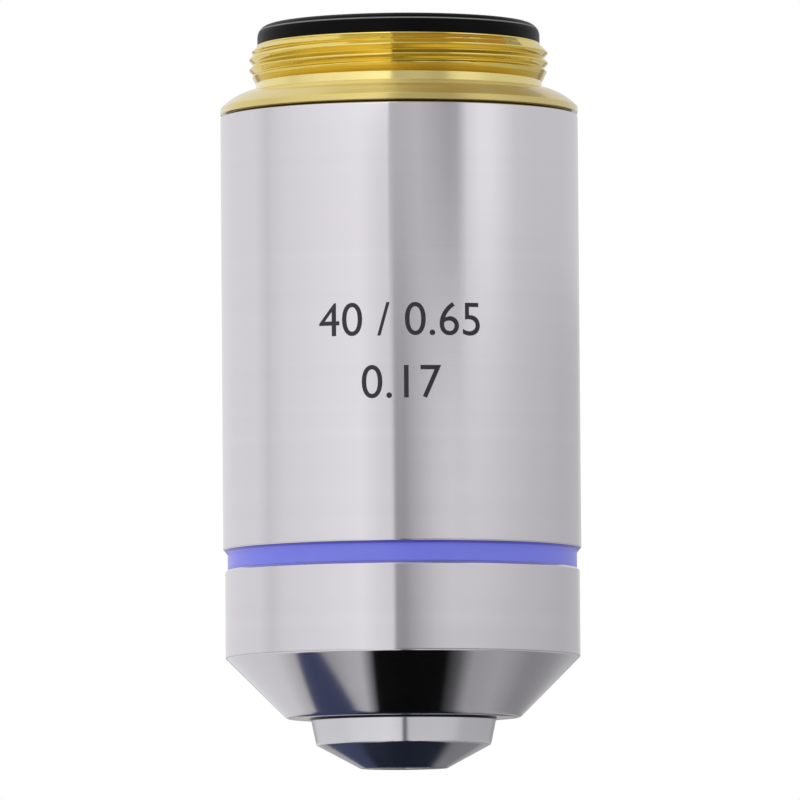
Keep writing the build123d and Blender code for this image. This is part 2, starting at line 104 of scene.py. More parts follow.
# %% [markdown]
# ## Small tools for node trees
#
# Shaders and geometry trees are both graphs of nodes. A few short helpers keep them readable:
# one feeds a node's inputs with numbers or from other nodes, one adds a node with its settings
# and inputs, and others write arithmetic and blends as function calls.


# %% Node helpers
def feed(tree, node, values):
    """Give each of these inputs of a node a constant, or link another node's output to it."""
    for label, value in values.items():
        if isinstance(value, bpy.types.NodeSocket):
            tree.links.new(value, node.inputs[label])
        else:
            node.inputs[label].default_value = value


def add(tree, kind, inputs=None, **settings):
    """Add a node, set its properties and feed its inputs."""
    made = tree.nodes.new(kind)
    for key, value in settings.items():
        setattr(made, key, value)
    feed(tree, made, inputs or {})
    return made


def calc(tree, operation, *values):
    """One Math node, as a function of numbers or sockets."""
    return add(tree, "ShaderNodeMath", dict(enumerate(values)), operation=operation).outputs[0]


def blend_between(tree, value, low, high, low_out, high_out, kind="SMOOTHSTEP"):
    """Go from one number to another, smoothly or straight, as value goes from low to high."""
    ends = {"From Min": low, "From Max": high, "To Min": low_out, "To Max": high_out}
    made = add(tree, "ShaderNodeMapRange", {"Value": value, **ends}, interpolation_type=kind)
    return made.outputs["Result"]


def object_place(tree):
    """The X, Y and Z of a point in its object's own coordinates."""
    place = add(tree, "ShaderNodeTexCoord").outputs["Object"]
    return add(tree, "ShaderNodeSeparateXYZ", {"Vector": place}).outputs


def principled(name):
    """A new material, its node tree and its principled shader."""
    material = bpy.data.materials.new(name)
    material.use_nodes = True
    return material, material.node_tree, material.node_tree.nodes["Principled BSDF"]


def declare(tree, direction, kind, *labels):
    """Add named sockets of one kind to a node group's interface."""
    for label in labels:
        tree.interface.new_socket(label, in_out=direction, socket_type="NodeSocket" + kind)


print("node helpers ready")

# %% [markdown]
# ## The studio
#
# Polished metal is a mirror, so its look is the look of the room. The room here is made of plain
# sheets that glow. A tent stands around the objective: a bright side on the left, a narrow dark
# slot where the camera looks in, and a softer side on the right. Flags are smaller sheets inside
# the tent, and each is seen only by the heights that face it: one by the thread, one by the neck
# and one by the nose. All of them give light and reflections, but the camera looks straight
# through them. One function paints any sheet, in one colour or with a soft change of light from
# place to place.


# %% Tools for the sheets
def level_ramp(tree, value, stops, low, high):
    """A colour ramp whose stops are given at places from low to high."""
    ramp = add(tree, "ShaderNodeValToRGB")
    while len(ramp.color_ramp.elements) < len(stops):
        ramp.color_ramp.elements.new(1.0)
    for element, (place, level) in zip(ramp.color_ramp.elements, stops):
        element.position = (place - low) / (high - low)
        element.color = (level, level, level, 1.0)
    feed(tree, ramp, {"Fac": blend_between(tree, value, low, high, 0.0, 1.0, kind="LINEAR")})
    return ramp.outputs["Color"]


def azimuth(tree):
    """The angle around the axis in degrees, from the camera towards its right."""
    place = object_place(tree)
    towards_camera = calc(tree, "MULTIPLY", place["Y"], -1.0)
    return calc(tree, "DEGREES", calc(tree, "ARCTAN2", place["X"], towards_camera))


def distance_right(tree):
    """The place in metres to the camera's right."""
    return object_place(tree)["X"]


def glowing(name, look, measure, low, high):
    """A glowing paint in one colour, or with light levels at places along a measure."""
    material = bpy.data.materials.new(name)
    material.use_nodes = True
    tree = material.node_tree
    tree.nodes.clear()
    if isinstance(look, list):
        look = level_ramp(tree, measure(tree), look, low, high)
    glow = add(tree, "ShaderNodeEmission", {"Color": look})
    add(tree, "ShaderNodeOutputMaterial", {"Surface": glow.outputs["Emission"]})
    return material


def stage_object(name, points, faces, material):
    """A studio object made of plain faces."""
    mesh = bpy.data.meshes.new(name)
    mesh.from_pydata(points, [], faces)
    mesh.materials.append(material)
    made = placed(name, mesh)
    return made


def seen_in_reflections_only(made):
    """Light and reflections, but nothing for the camera and no shadow."""
    made.visible_camera = False
    made.visible_shadow = False


def level_sheet(name, sides, ends, height, material):
    """A level sheet between two places across and two places away from the camera."""
    (left, right), (near, far) = sides, ends
    points = [(left, near, height), (right, near, height), (right, far, height), (left, far, height)]
    return stage_object(name, points, [(0, 1, 2, 3)], material)


def curved_sheet(name, radius, low, high, first, last, material, steps=180):
    """An upright sheet bent around the axis, from one azimuth to another."""
    turns = [math.radians(first + (last - first) * i / steps) for i in range(steps + 1)]
    points = [(radius * math.sin(a), -radius * math.cos(a), z) for z in (low, high) for a in turns]
    faces = [(i, i + 1, i + steps + 2, i + steps + 1) for i in range(steps)]
    return stage_object(name, points, faces, material)


print("sheet tools ready")

# %% [markdown]
# The upright sheets come first. The light on each is a short list of azimuths, in degrees from the
# camera towards its right, with the light level there. A sheet reaches from the first azimuth in
# its list to the last.

# %% Tent and flags
TABLE_HEIGHT = -0.0726
TENT_LOW = -0.28
TENT_HIGH = 0.30
TENT_LIGHT = [
    (-180, 0.78), (-150, 0.86), (-106, 0.875), (-94, 0.765), (-81, 0.87), (-45, 0.97), (-26, 1.01),
    (-13, 0.86), (-5.8, 0.83), (-3.8, 0.40), (2, 0.40), (5, 0.48), (12, 0.62), (21, 0.78), (31, 0.86),
    (41, 0.83), (52, 0.80), (67, 0.745), (92, 0.665), (125, 0.585), (155, 0.58), (180, 0.78),
]
THREAD_FLAG_LIGHT = [
    (-7, 0.60), (0, 0.62), (12, 0.63), (21, 0.52), (31, 0.42), (37, 0.46), (44, 0.88), (52, 1.04),
    (60, 1.04), (67, 0.95), (79, 0.775), (92, 0.735), (125, 0.715), (180, 0.70),
]
NOSE_FLAG_LIGHT = [
    (-180, 0.45), (-96, 0.42), (-66, 0.48), (-40, 0.62), (-15, 0.95), (-6, 0.95), (-4.5, 0.17),
    (60, 0.13), (110, 0.22), (180, 0.40),
]
NECK_FLAG_LIGHT = [(-70, 1.00), (-27, 1.20), (-15, 1.50), (-6, 1.45)]
# Radius, lower and upper edge in metres, and the light
UPRIGHT_SHEETS = {
    "light_tent": (0.50, TENT_LOW, TENT_HIGH, TENT_LIGHT),
    "near_flag": (0.44, 0.018, 0.299, THREAD_FLAG_LIGHT),
    "low_flag": (0.45, TABLE_HEIGHT, -0.034, NOSE_FLAG_LIGHT),
    "neck_flag": (0.10, 0.0078, 0.030, NECK_FLAG_LIGHT),
}
for name, (radius, low, high, light) in UPRIGHT_SHEETS.items():
    paper = glowing(name, light, azimuth, -180, 180)
    first, last = light[0][0], light[-1][0]
    seen_in_reflections_only(curved_sheet(name, radius, low, high, first, last, paper))
print("upright sheets:", ", ".join(UPRIGHT_SHEETS))

# %% [markdown]
# The level sheets lie under the nose and over the objective. A dark stripe in the middle of the
# table gives the cones their black middle, and a ceiling closes the tent. Cards of one colour lie
# on the table and hang from the ceiling, where the metal is to have a touch of blue or gold. The
# light on a striped sheet is a list of places across it, in metres to the camera's right.

# %% Table, papers, cards and ceiling
TABLE_LIGHT = [
    (-0.50, 0.80), (-0.060, 0.80), (-0.0330, 0.73), (-0.0300, 0.45), (-0.0205, 0.38), (-0.0155, 0.50),
    (-0.0128, 0.36), (-0.0105, 0.74), (-0.0090, 0.78), (-0.0080, 0.003), (0.0136, 0.003), (0.0141, 0.10),
    (0.018, 0.12), (0.0195, 0.38), (0.028, 0.44), (0.035, 0.29), (0.041, 0.29), (0.050, 0.50),
    (0.10, 0.58), (0.17, 0.50), (0.50, 0.60),
]
FRONT_LIGHT = [
    (-0.50, 0.80), (-0.06, 0.90), (-0.001, 0.92), (0.0, 0.15), (0.004, 0.15), (0.0055, 0.77),
    (0.10, 0.72), (0.50, 0.55),
]
FAR_LIGHT = [(-0.50, 0.45), (-0.25, 0.60), (-0.11, 0.95), (-0.036, 0.95), (-0.033, 0.25), (0.50, 0.30)]
CEILING_LIGHT = [
    (-0.50, 0.80), (-0.12, 0.92), (-0.088, 0.95), (-0.057, 1.12), (-0.022, 1.30), (-0.013, 1.30),
    (-0.010, 0.80), (0.0, 0.74), (0.047, 0.50), (0.073, 0.42), (0.10, 0.36), (0.50, 0.40),
]
DEEP_GOLD = (0.40, 0.27, 0.09, 1.0)
PALE_GOLD = (0.62, 0.55, 0.28, 1.0)
BLUE = (0.050, 0.060, 0.122, 1.0)
NAVY = (0.009, 0.014, 0.027, 1.0)
GREY = (0.230, 0.230, 0.240, 1.0)
PAPER_GAP = 0.2 * MM
ON_TABLE = TABLE_HEIGHT + PAPER_GAP
UNDER_CEILING = TENT_HIGH - PAPER_GAP
WIDE = (-0.50, 0.50)
PAPER_EDGE = -0.12
# Left and right side, near and far end and height in metres, and the light or the colour
LEVEL_SHEETS = {
    "table": (WIDE, WIDE, TABLE_HEIGHT, TABLE_LIGHT),
    "front_paper": (WIDE, (PAPER_EDGE, -0.030), ON_TABLE, FRONT_LIGHT),
    "far_paper": (WIDE, (WIDE[0], PAPER_EDGE), ON_TABLE, FAR_LIGHT),
    "blue_card": ((-0.0290, -0.0110), (-0.004, 0.060), ON_TABLE, BLUE),
    "navy_card": ((-0.0110, 0.0118), (-0.004, 0.060), ON_TABLE, NAVY),
    "grey_card": ((0.0118, 0.0220), (0.010, 0.070), ON_TABLE, GREY),
    "pale_gold_card": ((-0.150, -0.0115), (-0.10, 0.068), UNDER_CEILING, PALE_GOLD),
    "deep_gold_card": ((-0.0115, 0.150), (-0.10, 0.068), UNDER_CEILING, DEEP_GOLD),
    "side_gold_card": ((0.060, 0.140), (0.068, 0.125), UNDER_CEILING, DEEP_GOLD),
    "outer_gold_card": ((0.140, 0.340), (0.068, 0.250), UNDER_CEILING, DEEP_GOLD),
    "ceiling": (WIDE, WIDE, TENT_HIGH, CEILING_LIGHT),
}
for name, (sides, ends, height, look) in LEVEL_SHEETS.items():
    paint = glowing(name, look, distance_right, *WIDE)
    seen_in_reflections_only(level_sheet(name, sides, ends, height, paint))
print("level sheets:", ", ".join(LEVEL_SHEETS))

# %% [markdown]
# The floor is plain and pale, and far below. One lamp on the left gives a little direct light, and
# stays out of the reflections. The background is white for the camera, in reflections and through
# glass, and a little weaker as a source of light.

# %% Floor, key lamp and background
FLOOR_HEIGHT = -0.30
FLOOR_WIDE = (-4.0, 4.0)
KEY_AZIMUTH = -70
KEY_DISTANCE = 1.0
KEY_HEIGHT = 0.10
KEY_SIZE = 0.6
KEY_POWER = 1.1
BACKGROUND_LIGHT = 0.80

floor_paper, floor_tree, floor_shader = principled("floor_paper")
feed(floor_tree, floor_shader, {"Base Color": (0.82, 0.82, 0.82, 1.0), "Roughness": 0.8})
level_sheet("floor", FLOOR_WIDE, FLOOR_WIDE, FLOOR_HEIGHT, floor_paper)

key_data = bpy.data.lights.new("key_lamp", "AREA")
key_data.size = KEY_SIZE
key_data.energy = KEY_POWER
key = placed("key_lamp", key_data)
key_turn = Quaternion((0, 0, 1), math.radians(-KEY_AZIMUTH))
key.location = key_turn @ Vector((0, -KEY_DISTANCE, KEY_HEIGHT))
key.rotation_mode = "QUATERNION"
key.rotation_quaternion = (-key.location).to_track_quat("-Z", "Y")
key.visible_glossy = False

world = bpy.data.worlds.new("white_room")
scene.world = world
world.use_nodes = True
sky = world.node_tree
rays = add(sky, "ShaderNodeLightPath").outputs
seen = calc(sky, "MAXIMUM", rays["Is Camera Ray"], rays["Is Glossy Ray"])
seen = calc(sky, "MAXIMUM", seen, rays["Is Transmission Ray"])
strength = blend_between(sky, seen, 0.0, 1.0, BACKGROUND_LIGHT, 1.0)
feed(sky, sky.nodes["Background"], {"Color": (1.0, 1.0, 1.0, 1.0), "Strength": strength})

# %% [markdown]
# ## Finishes
#
# Two effects are shared by several finishes, so each is a shader group. Turning marks are the fine
# rings that a lathe tool leaves: their pattern depends only on the height along the axis. The
# handling film is a faint cloud, finer than a fingerprint, that breaks up a gloss or a colour.


# %% Shader groups shared by the finishes
def shader_group(name, inputs, outputs):
    """A shader group with float sockets, and its input and output nodes."""
    tree = bpy.data.node_groups.new(name, "ShaderNodeTree")
    declare(tree, "INPUT", "Float", *inputs)
    declare(tree, "OUTPUT", "Float", *outputs)
    return tree, add(tree, "NodeGroupInput"), add(tree, "NodeGroupOutput")


def turning_marks_group():
    """Rings of random height along the axis, with a second, coarser set under the fine one."""
    tree, given, result = shader_group("Turning marks", ["Rings per metre"], ["Height", "Shade"])
    along = calc(tree, "MULTIPLY", object_place(tree)["Z"], given.outputs["Rings per metre"])
    for label, scale, detail in (("Height", 1.0, 3.0), ("Shade", 0.13, 1.0)):
        noise = {"W": along, "Scale": scale, "Detail": detail}
        rings = add(tree, "ShaderNodeTexNoise", noise, noise_dimensions="1D")
        feed(tree, result, {label: rings.outputs["Fac"]})
    return tree


def handling_film_group():
    """A soft cloud, from 0 to 1, at a scale given in clouds per metre."""
    tree, given, result = shader_group("Handling film", ["Clouds per metre"], ["Cloud"])
    place = add(tree, "ShaderNodeTexCoord").outputs["Object"]
    scale = given.outputs["Clouds per metre"]
    cloud = add(tree, "ShaderNodeTexNoise", {"Vector": place, "Scale": scale, "Detail": 4.0})
    feed(tree, result, {"Cloud": cloud.outputs["Fac"]})
    return tree


TURNING_MARKS = turning_marks_group()
HANDLING_FILM = handling_film_group()
print("shader groups", TURNING_MARKS.name, "and", HANDLING_FILM.name)

# %% [markdown]
# Every metal here is turned, and then plated, lacquered or anodised. One function makes them all
# from a colour, a gloss and the depth of the rings. On a satin surface the rings scatter light
# along the axis and hardly around it, so the mirror image is smeared upwards and downwards but
# keeps sharp upright edges. The anisotropic shader does the same. A metal can have zones: each is
# a mask between two heights, with its own colour and gloss. Some zones are a change of finish,
# and others are painted highlight and painted shade.


# %% Tools for the finishes
def using(tree, group, label, value):
    """Place a shared shader group, set its one input and give its outputs."""
    return add(tree, "ShaderNodeGroup", {label: value}, node_tree=group).outputs


def mixed_colour(tree, mask, first, second):
    """The first colour where the mask is 0, and the second where it is 1."""
    return add(tree, "ShaderNodeMix", {0: mask, 6: first, 7: second}, data_type="RGBA").outputs[2]


def mixed_value(tree, mask, first, second):
    """The first number where the mask is 0, and the second where it is 1."""
    return add(tree, "ShaderNodeMix", {0: mask, 2: first, 3: second}, data_type="FLOAT").outputs[0]


def shaded_colour(tree, factor, colour, change):
    """A colour that gets a little darker or lighter with factor."""
    darker = (*[c * (1 - change) for c in colour], 1.0)
    lighter = (*[min(1.0, c * (1 + change)) for c in colour], 1.0)
    return mixed_colour(tree, factor, darker, lighter)


def height_zone(tree, low, high, soft, inner=0.0):
    """A mask that is 1 between two heights in mm, outside an inner radius, with soft edges."""
    place = object_place(tree)
    above = blend_between(tree, place["Z"], (low - soft) * MM, (low + soft) * MM, 0.0, 1.0)
    below = blend_between(tree, place["Z"], (high - soft) * MM, (high + soft) * MM, 1.0, 0.0)
    mask = calc(tree, "MULTIPLY", above, below)
    if inner:
        squares = [calc(tree, "POWER", place[side], 2.0) for side in ("X", "Y")]
        radius = calc(tree, "SQRT", calc(tree, "ADD", *squares))
        mask = calc(tree, "MULTIPLY", mask, calc(tree, "GREATER_THAN", radius, inner * MM))
    return mask


def bumped(tree, shader, height, depth):
    """Give a shader a relief, whose depth is in metres."""
    bump = add(tree, "ShaderNodeBump", {"Strength": 1.0, "Distance": depth, "Height": height})
    feed(tree, shader, {"Normal": bump.outputs["Normal"]})


print("finish tools ready")

# %% Metals
RINGS_PER_METRE = 6000.0
CLOUDS_PER_METRE = 260.0
GLOSS_SPREAD = 0.06
LACQUER_ROUGHNESS = 0.12


def metal(name, colour, roughness, ring_depth, smear=0.0, metallic=1.0, change=0.02, zones=()):
    """Turned metal. The ring depth is in metres, and smear is the scatter along the axis.

    A zone is (low, high, soft edge) in mm, the colour and the roughness that it has there and, if the
    inside of the piece isn't to have them, an inner radius.
    """
    material, tree, shader = principled(name)
    marks = using(tree, TURNING_MARKS, "Rings per metre", RINGS_PER_METRE)
    film = using(tree, HANDLING_FILM, "Clouds per metre", CLOUDS_PER_METRE)
    tint = shaded_colour(tree, marks["Shade"], colour, change)
    glossy, dull = roughness * (1 - GLOSS_SPREAD), roughness * (1 + GLOSS_SPREAD)
    gloss = blend_between(tree, film["Cloud"], 0.3, 0.7, glossy, dull)
    for low, high, soft, zone_colour, zone_roughness, *inner in zones:
        mask = height_zone(tree, low, high, soft, *inner)
        tint = mixed_colour(tree, mask, tint, (*zone_colour, 1.0))
        gloss = mixed_value(tree, mask, gloss, zone_roughness)
    feed(tree, shader, {"Base Color": tint, "Roughness": gloss, "Metallic": metallic})
    bumped(tree, shader, marks["Height"], ring_depth)
    if smear:
        around = add(tree, "ShaderNodeTangent", direction_type="RADIAL", axis="Z").outputs["Tangent"]
        feed(tree, shader, {"Tangent": around, "Anisotropic": smear, "Anisotropic Rotation": 0.25})
    return material


def lacquer(material, first_bare, second_bare):
    """Clear lacquer over a metal, apart from two bare zones."""
    tree = material.node_tree
    shader = tree.nodes["Principled BSDF"]
    masks = [height_zone(tree, *zone[:3]) for zone in (first_bare, second_bare)]
    covered = calc(tree, "SUBTRACT", 1.0, calc(tree, "MAXIMUM", *masks))
    feed(tree, shader, {"Coat Weight": covered, "Coat Roughness": LACQUER_ROUGHNESS})


print("metal tools ready")

# %% [markdown]
# The sleeves are satin chrome. The nose is a duller chrome, with painted shade, a dark line just below the
# cone, where it slides.
# The mount is lacquered brass: satin on its crowned shoulder, with a painted pale highlight on the
# top of the crown and on the neck, bare on the thread, with painted shade, deeper gold, at the foot
# of the thread and painted shade, dark brown, in the joint below it. The ring on top is anodised
# black, with a painted highlight line along its rounded edge.

# %% Chrome, brass, black and steel
satin_chrome = metal("satin_chrome", (0.720, 0.696, 0.742), 0.095, 0.4e-6, smear=0.85)

CONE_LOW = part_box("front_sleeve")[0].z / MM
NOSE_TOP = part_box("nose_cap")[1].z / MM
# Painted shade: a dark line on the nose just below the cone, where the nose slides in.
PAINTED_GAP_SHADE = (CONE_LOW - 0.13, NOSE_TOP, 0.03, (0.020, 0.020, 0.028), 0.40)
nose_chrome = metal("nose_chrome", (0.70, 0.69, 0.73), 0.17, 0.5e-6, smear=0.9, zones=(PAINTED_GAP_SHADE,))

BRASS = (0.86, 0.67, 0.175)
SLEEVE_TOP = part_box("outer_sleeve")[1].z / MM
RIM_LOW = -1.49
PARTING_TOP = RIM_LOW - 0.01
CROWN_TOP = 0.03
NECK_TOP = 0.62
THREAD_TOP = 4.0
CROWN_SATIN = (PARTING_TOP, CROWN_TOP, 0.02, (0.82, 0.66, 0.22), 0.36)
# Painted highlight: a pale band at the top of the crown.
PAINTED_CROWN_HIGHLIGHT = (-0.32, CROWN_TOP, 0.05, (1.00, 0.86, 0.42), 0.55)
# Painted highlight: the whole neck paler than the rest of the brass.
PAINTED_NECK_HIGHLIGHT = (CROWN_TOP, NECK_TOP, 0.02, (0.92, 0.77, 0.28), 0.20)
BARE_THREAD = (NECK_TOP, THREAD_TOP, 0.02, BRASS, 0.07)
# Painted shade: deeper gold at the foot of the thread, where it runs out into the neck.
PAINTED_THREAD_FOOT_SHADE = (NECK_TOP, 1.02, 0.02, (0.74, 0.50, 0.06), 0.12)
# Painted shade: dark brown in the joint between the mount's rim and the sleeve.
PAINTED_PARTING_SHADE = (SLEEVE_TOP + 0.01, PARTING_TOP, 0.01, (0.120, 0.075, 0.018), 0.60)
mount_brass = metal(
    "mount_brass", BRASS, 0.20, 0.6e-6, smear=0.92, change=0.04,
    zones=(CROWN_SATIN, PAINTED_CROWN_HIGHLIGHT, PAINTED_NECK_HIGHLIGHT, BARE_THREAD, PAINTED_THREAD_FOOT_SHADE, PAINTED_PARTING_SHADE),
)
lacquer(mount_brass, BARE_THREAD, PAINTED_PARTING_SHADE)
inner_brass = metal("inner_brass", (0.70, 0.55, 0.28), 0.35, 1.5e-6, smear=0.5, change=0.05)
blackened_brass = metal("blackened_brass", (0.030, 0.028, 0.026), 0.45, 1.5e-6, metallic=0.6, change=0.15)

RING_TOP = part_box("rear_stop_ring")[1].z / MM
# Painted highlight: a light grey line along the ring's rounded upper edge.
PAINTED_EDGE_HIGHLIGHT = (RING_TOP - 0.42, RING_TOP - 0.34, 0.035, (0.30, 0.30, 0.30), 0.45, 9.0)
black_anodised = metal(
    "black_anodised", (0.004, 0.004, 0.005), 0.36, 1.0e-6, metallic=0.0, change=0.15, zones=(PAINTED_EDGE_HIGHLIGHT,)
)
black_anodised.node_tree.nodes["Principled BSDF"].inputs["Specular IOR Level"].default_value = 0.05
small_steel = metal("small_steel", (0.52, 0.52, 0.53), 0.28, 1.0e-6)
spring_steel = metal("spring_steel", (0.42, 0.43, 0.45), 0.25, 0.4e-6)
print("finish for the mount has", len(mount_brass.node_tree.nodes), "nodes")

# %% [markdown]
# The blue band is enamel: paint with a clear gloss and the faintest orange peel, and painted shade
# under the sleeve's lip. The lenses are glass with a thin coating that tints their reflection. The
# numbers are printed in dark ink.


# %% Enamel, glass and ink
def enamel(name, colour, painted_shade_band, painted_shade_colour):
    """Glossy paint with a slight orange peel, and painted shade, a darker colour, in a band between two
    heights.
    """
    material, tree, shader = principled(name)
    film = using(tree, HANDLING_FILM, "Clouds per metre", 900.0)
    tint = shaded_colour(tree, film["Cloud"], colour, 0.05)
    # Painted shade: a darker colour in the band between the two heights.
    tint = mixed_colour(tree, height_zone(tree, *painted_shade_band, 0.05), tint, (*painted_shade_colour, 1.0))
    bumped(tree, shader, film["Cloud"], 2.0e-6)
    feed(tree, shader, {"Base Color": tint, "Roughness": 0.38, "Coat Weight": 0.4, "Coat Roughness": 0.15})
    return material


def glass(name, ior, coating):
    """Coated glass with a breath of dust in its gloss."""
    material, tree, shader = principled(name)
    film = using(tree, HANDLING_FILM, "Clouds per metre", 700.0)
    dust = blend_between(tree, film["Cloud"], 0.45, 0.8, 0.0, 0.05)
    feed(tree, shader, {
        "Base Color": (0.97, 0.98, 0.98, 1.0), "Roughness": dust, "Transmission Weight": 1.0,
        "IOR": ior, "Specular Tint": coating,
    })
    return material


def ink(name, colour):
    """Matt printing ink that is thinner in places."""
    material, tree, shader = principled(name)
    film = using(tree, HANDLING_FILM, "Clouds per metre", 1500.0)
    feed(tree, shader, {"Base Color": shaded_colour(tree, film["Cloud"], colour, 0.25), "Roughness": 0.55})
    return material


SLEEVE_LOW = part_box("outer_sleeve")[0].z / MM
LIP = SLEEVE_LOW - 0.08
# Painted shade: darker blue under the sleeve's lip.
blue_enamel = enamel("blue_enamel", (0.190, 0.210, 0.900), (LIP - 0.15, LIP + 0.20), (0.085, 0.080, 0.58))
crown_glass = glass("crown_glass", 1.52, (0.75, 0.55, 1.0, 1.0))
flint_glass = glass("flint_glass", 1.65, (0.55, 0.95, 0.75, 1.0))
dark_ink = ink("dark_ink", (0.020, 0.020, 0.026))

INNER_FINISHES = {
    "inner_brass": inner_brass, "blackened_brass": blackened_brass, "small_steel": small_steel,
    "crown_glass": crown_glass, "flint_glass": flint_glass,
}
print("finishes for the pieces inside:", ", ".join(INNER_FINISHES))

# %% [markdown]
# ## Turned pieces
#
# A lathe makes a piece from its half outline, and so does this lesson. An outline is a list of
# corners in millimetres, each with its own edge rounding, because a real edge is never sharp:
# the thin bright lines in the photograph are edges that catch the light. Beside each rounding
# stands one more point, where there is room, so that the long walls next to it stay straight in the
# shading.

# %% Outlines with rounded corners
ROUNDING_STEP = 12.0
BESIDE_SHARE = 0.5
ROOM_NEEDED = 2.5


def rounded_outline(corners, closed=True):
    """Points in metres along a half outline. A corner is (radius, height, rounding) in mm."""
    points = []
    count = len(corners)
    for i, (radius, height, rounding) in enumerate(corners):
        here = Vector((radius, height))
        if rounding == 0 or (not closed and i in (0, count - 1)):
            points.append(here)
            continue
        back = Vector(corners[i - 1][:2]) - here
        ahead = Vector(corners[(i + 1) % count][:2]) - here
        half = back.angle(ahead) / 2
        cut = rounding / math.tan(half)
        start = here + back.normalized() * cut
        end = here + ahead.normalized() * cut
        centre = here + (back.normalized() + ahead.normalized()).normalized() * (rounding / math.sin(half))
        turn = math.pi - 2 * half
        steps = max(2, round(math.degrees(turn) / ROUNDING_STEP))
        beside = BESIDE_SHARE * rounding
        if back.length > ROOM_NEEDED * (cut + beside):
            points.append(start + back.normalized() * beside)
        sign = math.copysign(1.0, (start - centre).cross(end - centre))
        for step in range(steps + 1):
            angle = sign * turn * step / steps
            arm = start - centre
            turned = Vector((
                arm.x * math.cos(angle) - arm.y * math.sin(angle),
                arm.x * math.sin(angle) + arm.y * math.cos(angle),
            ))
            points.append(centre + turned)
        if ahead.length > ROOM_NEEDED * (cut + beside):
            points.append(end + ahead.normalized() * beside)
    if closed:
        points.append(points[0])
    return [(p.x * MM, 0.0, p.y * MM) for p in points]


def arc_corners(start, end, bulge, steps):
    """Corners along a shallow arc between two points, bulging to the left of the way there."""
    first, last = Vector(start), Vector(end)
    chord = last - first
    side = Vector((-chord.y, chord.x)).normalized()
    places = [i / steps for i in range(1, steps)]
    inner = [first + chord * t + side * bulge * 4 * t * (1 - t) for t in places]
    return [(p.x, p.y, 0) for p in inner]


square = rounded_outline([(1, 0, 0), (2, 0, 0), (2, 1, 0.1), (1, 1, 0)])
print("a square with one round corner has", len(square), "points")

# %% [markdown]
# One geometry tree turns any outline. A grid has a column for each step around the axis and a
# row for each point of the outline. From a vertex's number follow its column and its row: the
# row says which point of the outline to read, and the column how far to turn it. The seam and
# the points on the axis are then merged.


# %% The turning tree
def swept_grid(tree, segments, rings):
    """A grid to wrap around the axis: its mesh, each vertex's angle and its row number."""
    columns = whole(tree, "ADD", segments, 1)
    grid = add(tree, "GeometryNodeMeshGrid", {"Vertices X": columns, "Vertices Y": rings}).outputs
    number = add(tree, "GeometryNodeInputIndex").outputs["Index"]
    column = whole(tree, "DIVIDE_FLOOR", number, rings)
    row = whole(tree, "MODULO", number, rings)
    angle = calc(tree, "MULTIPLY", calc(tree, "DIVIDE", column, segments), 2 * math.pi)
    values = {"Geometry": grid["Mesh"], "Name": "UVMap", "Value": grid["UV Map"]}
    stored = add(tree, "GeometryNodeStoreNamedAttribute", values, data_type="FLOAT2", domain="CORNER")
    return stored.outputs["Geometry"], angle, row


def whole(tree, operation, *values):
    """One Integer Math node."""
    return add(tree, "FunctionNodeIntegerMath", dict(enumerate(values)), operation=operation).outputs[0]


def wrapped(tree, mesh, radius, angle, height):
    """Set each vertex from its radius, angle and height."""
    x = calc(tree, "MULTIPLY", radius, calc(tree, "COSINE", angle))
    y = calc(tree, "MULTIPLY", radius, calc(tree, "SINE", angle))
    place = add(tree, "ShaderNodeCombineXYZ", {"X": x, "Y": y, "Z": height}).outputs["Vector"]
    return add(tree, "GeometryNodeSetPosition", {"Geometry": mesh, "Position": place}).outputs["Geometry"]


def turned_surface(tree, outline, segments, rings):
    """The outline's points swept around the axis."""
    mesh, angle, row = swept_grid(tree, segments, rings)
    place = add(tree, "GeometryNodeInputPosition").outputs["Position"]
    values = {"Geometry": outline, "Value": place, "Index": row}
    point = add(tree, "GeometryNodeSampleIndex", values, data_type="FLOAT_VECTOR").outputs["Value"]
    parts = add(tree, "ShaderNodeSeparateXYZ", {"Vector": point}).outputs
    return wrapped(tree, mesh, parts["X"], angle, parts["Z"])


def closed_up(tree, geometry, finish, result):
    """Merge what meets, realise, and give the finish."""
    merged = add(tree, "GeometryNodeMergeByDistance", {"Geometry": geometry, "Distance": 3.0e-7})
    real = add(tree, "GeometryNodeRealizeInstances", {"Geometry": merged.outputs["Geometry"]})
    values = {"Geometry": real.outputs["Geometry"], "Material": finish}
    painted = add(tree, "GeometryNodeSetMaterial", values)
    feed(tree, result, {"Geometry": painted.outputs["Geometry"]})


def geometry_tree(name, counts, measures):
    """A tree that takes an outline, counts, measures and a finish: the tree, these and its end node."""
    tree = bpy.data.node_groups.new(name, "GeometryNodeTree")
    declare(tree, "INPUT", "Geometry", "Outline")
    declare(tree, "INPUT", "Int", *counts)
    declare(tree, "INPUT", "Float", *measures)
    declare(tree, "INPUT", "Material", "Finish")
    declare(tree, "OUTPUT", "Geometry", "Geometry")
    return tree, add(tree, "NodeGroupInput").outputs, add(tree, "NodeGroupOutput")


def turned_piece_tree():
    """The tree for a plain turned piece."""
    tree, part, result = geometry_tree("Turned piece", ["Segments", "Rings"], [])
    surface = turned_surface(tree, part["Outline"], part["Segments"], part["Rings"])
    closed_up(tree, surface, part["Finish"], result)
    return tree


TURNED_PIECE = turned_piece_tree()
print("turning tree of", len(TURNED_PIECE.nodes), "nodes")

# %% [markdown]
# A tree only runs while its modifier is on the object, so its result is made a plain mesh. After
# that the faces are turned outwards, and an edge is sharp where two faces meet at a clear angle.


# %% From tree to plain mesh
def run_tree(made, tree, values):
    """Run a geometry tree on an object and keep the result as its mesh."""
    modifier = made.modifiers.new(tree.name, "NODES")
    modifier.node_group = tree
    sockets = {item.name: item.identifier for item in tree.interface.items_tree if item.in_out == "INPUT"}
    for label, value in values.items():
        modifier[sockets[label]] = value
    keep_result(made)


